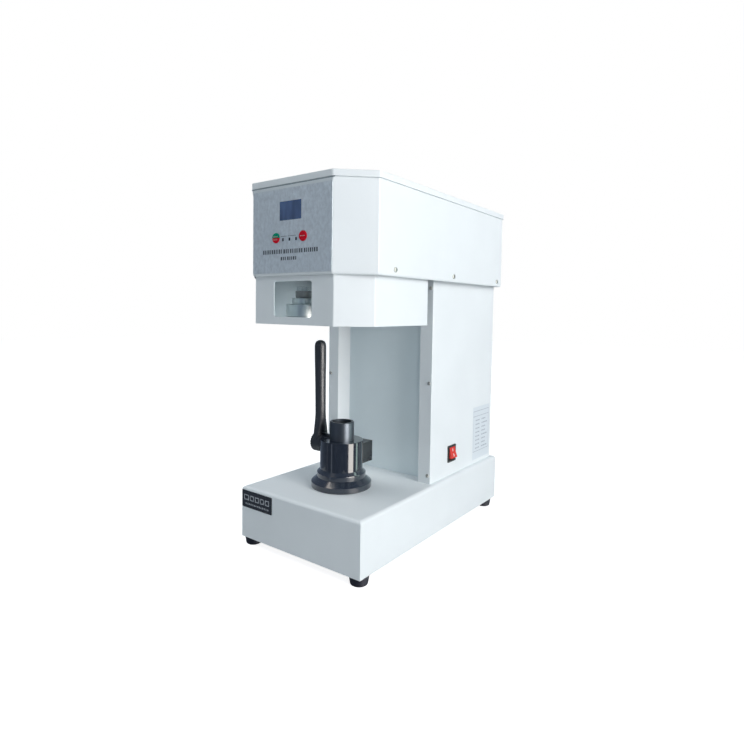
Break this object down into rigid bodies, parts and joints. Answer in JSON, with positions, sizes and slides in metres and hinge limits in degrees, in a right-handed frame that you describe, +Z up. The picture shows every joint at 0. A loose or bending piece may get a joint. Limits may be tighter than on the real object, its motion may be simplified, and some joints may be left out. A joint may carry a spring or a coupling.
{
  "type": "desktop can sealing machine",
  "caption": "Desktop electric can seamer: white sheet-metal base, column and head with seaming rollers over a black lever-raised can seat.",
  "frame": {"origin": "middle of the machine's bounding box in plan, on the surface its feet stand on", "axes": "+Z up, -Y towards the operator and the control panel, +X towards the side with the power switch"},
  "size_m": [0.2628, 0.47, 0.5885],
  "materials": {
    "white_housing": "white powder coat with a fine orange peel",
    "front_panel_paint": "white semi-gloss paint",
    "frame_steel": "grey primed steel",
    "foot_rubber": "moulded black rubber",
    "zinc_screw": "bright zinc-plated steel",
    "black_screw": "black oxide steel",
    "badge": "gloss black badge",
    "supply_case": "plain sheet",
    "control_panel": "mottled satin metal plate",
    "display_glass": "dark blue display window",
    "display_frame": "black frame",
    "circuit_board": "green circuit board",
    "lamp": "unlit dark lens",
    "green_key": "green plastic",
    "red_key": "red plastic",
    "switch_black": "moulded black plastic",
    "switch_red": "translucent red plastic",
    "seat_black": "gloss black, turned",
    "tube_black": "satin black oxide, turned",
    "block_black": "satin black",
    "lever_black": "smooth black grip",
    "bright_steel": "ground bright steel",
    "roller_steel": "hardened and ground steel",
    "arm_steel": "dark forged steel",
    "pulley_alloy": "turned aluminium",
    "bush_bronze": "bronze bush",
    "motor_paint": "dark grey enamel",
    "belt_rubber": "black belt"
  },
  "bodies": {
    "machine": {"base_shell": "white_housing", "base_bottom_plate": "frame_steel", "rubber_feet": "foot_rubber", "foot_screws": "zinc_screw", "base_mount_plate": "frame_steel", "name_badge": "badge", "power_supply": "supply_case", "column_shell": "white_housing", "column_front_panel": "front_panel_paint", "frame_uprights": "frame_steel", "switch_bezel": "switch_black", "power_inlet": "switch_black", "head_cover": "white_housing", "head_lid": "white_housing", "head_plate": "frame_steel", "lower_shroud": "white_housing", "cover_screws": "zinc_screw", "control_panel": "control_panel", "display_window": "display_glass", "display_module": "display_frame", "control_board": "circuit_board", "indicator_lamps": "lamp", "seat_flange": "seat_black", "seat_bolts": "black_screw", "seat_body": "seat_black", "rear_guide_block": "block_black", "head_bolts": "black_screw", "spindle_housing": "pulley_alloy", "spindle_bearings": "bright_steel", "motor_body": "motor_paint", "drive_belt": "belt_rubber", "pivot_bushes": "bush_bronze", "gear_motor_bracket": "frame_steel", "gear_motor": "motor_paint"},
    "lever": {"lever_shaft": "bright_steel", "lever_hub": "lever_black", "lever_arm": "lever_black", "lift_pinion": "bright_steel"},
    "lift": {"lift_tube": "tube_black", "lift_rack": "bright_steel"},
    "spindle": {"spindle_shaft": "bright_steel", "chuck": "roller_steel", "spindle_pulley": "pulley_alloy"},
    "motor_rotor": {"motor_shaft": "bright_steel", "motor_pulley": "pulley_alloy"},
    "left_arm": {"pivot_shaft_left": "bright_steel", "roller_arm_left": "arm_steel", "roller_pin_left": "bright_steel", "sector_gear_left": "arm_steel"},
    "right_arm": {"pivot_shaft_right": "bright_steel", "roller_arm_right": "arm_steel", "roller_pin_right": "bright_steel", "sector_gear_right": "arm_steel"},
    "left_roller": {"seaming_roller_left": "roller_steel"},
    "right_roller": {"seaming_roller_right": "roller_steel"},
    "swing_drive": {"swing_pinion": "bright_steel"},
    "start_key": {"start_key": "green_key"},
    "pause_key": {"pause_key": "red_key"},
    "stop_key": {"stop_key": "red_key"},
    "power_rocker": {"switch_rocker": "switch_red"}
  },
  "joints": [
    {"name": "lever_turn", "type": "hinge", "parent": "machine", "child": "lever", "pos_m": [0, -0.1095, 0.164], "axis": [1, 0, 0], "range_deg": [0, 90]},
    {"name": "seat_lift", "type": "slide", "parent": "machine", "child": "lift", "axis": [0, 0, 1], "range_m": [0, 0.0126]},
    {"name": "spindle_spin", "type": "hinge", "parent": "machine", "child": "spindle", "pos_m": [0, -0.1095, 0.45], "axis": [0, 0, 1], "continuous": true},
    {"name": "motor_spin", "type": "hinge", "parent": "machine", "child": "motor_rotor", "pos_m": [0, 0.115, 0.47], "axis": [0, 0, 1], "continuous": true},
    {"name": "left_arm_swing", "type": "hinge", "parent": "machine", "child": "left_arm", "pos_m": [-0.085, -0.06, 0.44], "axis": [0, 0, 1], "range_deg": [-5.8, 5.8]},
    {"name": "right_arm_swing", "type": "hinge", "parent": "machine", "child": "right_arm", "pos_m": [0.085, -0.06, 0.44], "axis": [0, 0, 1], "range_deg": [-5.8, 5.8]},
    {"name": "swing_drive_turn", "type": "hinge", "parent": "machine", "child": "swing_drive", "pos_m": [0, -0.03238, 0.466], "axis": [0, 0, 1], "range_deg": [-29, 29]},
    {"name": "left_roller_spin", "type": "hinge", "parent": "left_arm", "child": "left_roller", "pos_m": [-0.055, -0.149, 0.39], "axis": [0, 0, 1], "continuous": true},
    {"name": "right_roller_spin", "type": "hinge", "parent": "right_arm", "child": "right_roller", "pos_m": [0.055, -0.149, 0.39], "axis": [0, 0, 1], "continuous": true},
    {"name": "start_key_press", "type": "slide", "parent": "machine", "child": "start_key", "axis": [0, 1, 0], "range_m": [0, 0.001], "stiffness_N_per_m": 800, "springref_m": -0.0005},
    {"name": "pause_key_press", "type": "slide", "parent": "machine", "child": "pause_key", "axis": [0, 1, 0], "range_m": [0, 0.001], "stiffness_N_per_m": 800, "springref_m": -0.0005},
    {"name": "stop_key_press", "type": "slide", "parent": "machine", "child": "stop_key", "axis": [0, 1, 0], "range_m": [0, 0.001], "stiffness_N_per_m": 800, "springref_m": -0.0005},
    {"name": "power_rocker_tip", "type": "hinge", "parent": "machine", "child": "power_rocker", "pos_m": [0.1124, 0.0615, 0.1365], "axis": [0, 1, 0], "range_deg": [0, 30]}
  ],
  "couplings": [
    {"joint": "seat_lift", "follows": "lever_turn", "m_per_rad": 0.008},
    {"joint": "motor_spin", "follows": "spindle_spin", "ratio": 1.5333},
    {"joint": "right_arm_swing", "follows": "left_arm_swing", "ratio": 1},
    {"joint": "swing_drive_turn", "follows": "left_arm_swing", "ratio": -5}
  ]
}
